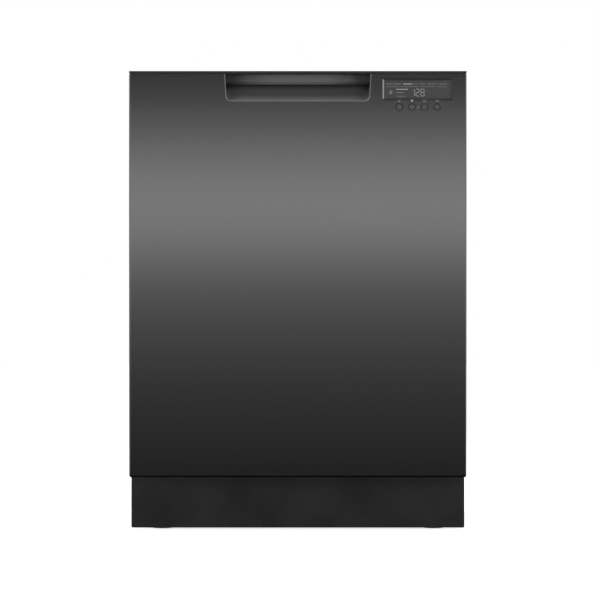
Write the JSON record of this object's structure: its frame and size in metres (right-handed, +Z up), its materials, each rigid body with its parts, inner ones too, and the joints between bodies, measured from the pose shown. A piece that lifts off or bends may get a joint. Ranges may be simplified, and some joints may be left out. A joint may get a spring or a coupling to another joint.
{
  "type": "built-in dishwasher",
  "caption": "Front-loading built-in dishwasher with a flat dark steel door, recessed pull, small display with round buttons, and wire racks over rotating spray arms.",
  "frame": {"origin": "on the floor, under the middle of the machine's overall box", "axes": "+X to the right of someone facing the door, +Y from the door to the back, +Z up"},
  "size_m": [0.599, 0.575, 0.82],
  "materials": {
    "black_stainless": "dark tinted stainless steel, brushed across",
    "stainless": "satin stainless steel",
    "galvanised": "zinc-coated steel, dull",
    "black_plastic": "moulded, fine grain",
    "dark_plastic": "moulded, satin",
    "button_cap": "moulded, metallic paint",
    "grey_plastic": "moulded polypropylene",
    "display_lens": "smoked, smooth",
    "circuit": "lacquered board",
    "felt": "pressed fibre",
    "rubber": "dull",
    "coated_wire": "nylon-coated steel wire"
  },
  "bodies": {
    "chassis": {"tub": "stainless", "tub_seal": "rubber", "sound_blanket": "felt", "side_panel_left": "galvanised", "side_panel_right": "galvanised", "base_pan": "black_plastic", "toe_kick": "black_plastic", "door_strike": "galvanised", "worktop_tab_left": "galvanised", "worktop_tab_right": "galvanised", "hinge_bracket_left": "galvanised", "hinge_bracket_right": "galvanised", "balance_spring_left": "galvanised", "balance_spring_right": "galvanised", "rack_rail_left": "stainless", "rack_rail_right": "stainless", "wash_pump": "dark_plastic", "drain_pump": "dark_plastic", "inlet_valve": "grey_plastic", "feed_tube": "grey_plastic", "sump": "dark_plastic", "filter_plate": "stainless"},
    "door": {"door_skin": "black_stainless", "door_top_cap": "black_plastic", "handle_pocket": "dark_plastic", "handle_bar": "black_stainless", "display_window": "display_lens", "control_board": "circuit", "door_liner": "stainless", "door_pad": "felt", "door_latch": "black_plastic", "door_bottom_seal": "rubber", "dispenser_body": "grey_plastic", "hinge_arm_left": "galvanised", "hinge_arm_right": "galvanised"},
    "dispenser_lid": {"dispenser_lid": "grey_plastic"},
    "rinse_aid_cap": {"rinse_aid_cap": "black_plastic"},
    "filter": {"filter_cylinder": "grey_plastic"},
    "lower_spray_arm": {"lower_spray_arm": "grey_plastic"},
    "upper_spray_arm": {"upper_spray_arm": "grey_plastic"},
    "lower_rack": {"lower_rack": "coated_wire"},
    "cutlery_basket": {"cutlery_basket": "grey_plastic"},
    "upper_rack": {"upper_rack": "coated_wire", "spray_manifold": "grey_plastic"},
    "cup_shelf_left": {"cup_shelf_left": "coated_wire"},
    "cup_shelf_right": {"cup_shelf_right": "coated_wire"},
    "folding_tines_left": {"folding_tines_left": "coated_wire"},
    "folding_tines_right": {"folding_tines_right": "coated_wire"},
    "push_button_1": {"push_button_1": "button_cap"},
    "push_button_2": {"push_button_2": "button_cap"},
    "push_button_3": {"push_button_3": "button_cap"},
    "push_button_4": {"push_button_4": "button_cap"},
    "rack_wheel_front_left": {"rack_wheel_front_left": "grey_plastic"},
    "foot_front_left": {"foot_front_left": "black_plastic"},
    "rack_wheel_front_right": {"rack_wheel_front_right": "grey_plastic"},
    "foot_front_right": {"foot_front_right": "black_plastic"},
    "rack_wheel_rear_left": {"rack_wheel_rear_left": "grey_plastic"},
    "foot_rear_left": {"foot_rear_left": "black_plastic"},
    "rack_wheel_rear_right": {"rack_wheel_rear_right": "grey_plastic"},
    "foot_rear_right": {"foot_rear_right": "black_plastic"}
  },
  "joints": [
    {"name": "door_hinge", "type": "hinge", "parent": "chassis", "child": "door", "pos_m": [0, -0.2495, 0.119], "axis": [1, 0, 0], "range_deg": [0, 90], "stiffness_Nm_per_rad": 20, "deforming": ["balance_spring_left", "balance_spring_right"]},
    {"name": "push_button_1_press", "type": "slide", "parent": "door", "child": "push_button_1", "axis": [0, 1, 0], "range_m": [0, 0.0015], "stiffness_N_per_m": 600},
    {"name": "push_button_2_press", "type": "slide", "parent": "door", "child": "push_button_2", "axis": [0, 1, 0], "range_m": [0, 0.0015], "stiffness_N_per_m": 600},
    {"name": "push_button_3_press", "type": "slide", "parent": "door", "child": "push_button_3", "axis": [0, 1, 0], "range_m": [0, 0.0015], "stiffness_N_per_m": 600},
    {"name": "push_button_4_press", "type": "slide", "parent": "door", "child": "push_button_4", "axis": [0, 1, 0], "range_m": [0, 0.0015], "stiffness_N_per_m": 600},
    {"name": "dispenser_lid_hinge", "type": "hinge", "parent": "door", "child": "dispenser_lid", "pos_m": [-0.038, -0.2264, 0.4296], "axis": [1, 0, 0], "range_deg": [0, 90]},
    {"name": "rinse_aid_cap_turn", "type": "hinge", "parent": "door", "child": "rinse_aid_cap", "pos_m": [0.045, -0.2289, 0.3996], "axis": [0, 1, 0], "range_deg": [0, 90]},
    {"name": "filter_turn", "type": "hinge", "parent": "chassis", "child": "filter", "pos_m": [0, -0.06, 0.128], "axis": [0, 0, 1], "range_deg": [0, 90]},
    {"name": "lower_spray_arm_spin", "type": "hinge", "parent": "chassis", "child": "lower_spray_arm", "pos_m": [0, 0.014, 0.168], "axis": [0, 0, 1], "continuous": true},
    {"name": "upper_spray_arm_spin", "type": "hinge", "parent": "upper_rack", "child": "upper_spray_arm", "pos_m": [0, 0.014, 0.45], "axis": [0, 0, 1], "continuous": true},
    {"name": "lower_rack_slide", "type": "slide", "parent": "chassis", "child": "lower_rack", "axis": [0, -1, 0], "range_m": [0, 0.01]},
    {"name": "upper_rack_slide", "type": "slide", "parent": "chassis", "child": "upper_rack", "axis": [0, -1, 0], "range_m": [0, 0.01]},
    {"name": "cutlery_basket_lift", "type": "slide", "parent": "lower_rack", "child": "cutlery_basket", "axis": [0, 0, 1], "range_m": [0, 0.07]},
    {"name": "rack_wheel_front_left_roll", "type": "hinge", "parent": "lower_rack", "child": "rack_wheel_front_left", "pos_m": [-0.258, -0.136, 0.1593], "axis": [1, 0, 0], "continuous": true},
    {"name": "rack_wheel_front_right_roll", "type": "hinge", "parent": "lower_rack", "child": "rack_wheel_front_right", "pos_m": [0.258, -0.136, 0.1593], "axis": [1, 0, 0], "continuous": true},
    {"name": "rack_wheel_rear_left_roll", "type": "hinge", "parent": "lower_rack", "child": "rack_wheel_rear_left", "pos_m": [-0.258, 0.164, 0.1593], "axis": [1, 0, 0], "continuous": true},
    {"name": "rack_wheel_rear_right_roll", "type": "hinge", "parent": "lower_rack", "child": "rack_wheel_rear_right", "pos_m": [0.258, 0.164, 0.1593], "axis": [1, 0, 0], "continuous": true},
    {"name": "folding_tines_left_fold", "type": "hinge", "parent": "lower_rack", "child": "folding_tines_left", "pos_m": [-0.168, 0.0145, 0.2057], "axis": [0, 1, 0], "range_deg": [0, 80]},
    {"name": "folding_tines_right_fold", "type": "hinge", "parent": "lower_rack", "child": "folding_tines_right", "pos_m": [-0.044, 0.0145, 0.2057], "axis": [0, 1, 0], "range_deg": [0, 80]},
    {"name": "cup_shelf_left_fold", "type": "hinge", "parent": "upper_rack", "child": "cup_shelf_left", "pos_m": [-0.238, 0.014, 0.574], "axis": [0, -1, 0], "range_deg": [0, 80]},
    {"name": "cup_shelf_right_fold", "type": "hinge", "parent": "upper_rack", "child": "cup_shelf_right", "pos_m": [0.238, 0.014, 0.574], "axis": [0, 1, 0], "range_deg": [0, 80]},
    {"name": "foot_front_left_screw", "type": "slide", "parent": "chassis", "child": "foot_front_left", "axis": [0, 0, -1], "range_m": [0, 0.06]},
    {"name": "foot_front_right_screw", "type": "slide", "parent": "chassis", "child": "foot_front_right", "axis": [0, 0, -1], "range_m": [0, 0.06]},
    {"name": "foot_rear_left_screw", "type": "slide", "parent": "chassis", "child": "foot_rear_left", "axis": [0, 0, -1], "range_m": [0, 0.06]},
    {"name": "foot_rear_right_screw", "type": "slide", "parent": "chassis", "child": "foot_rear_right", "axis": [0, 0, -1], "range_m": [0, 0.06]}
  ]
}
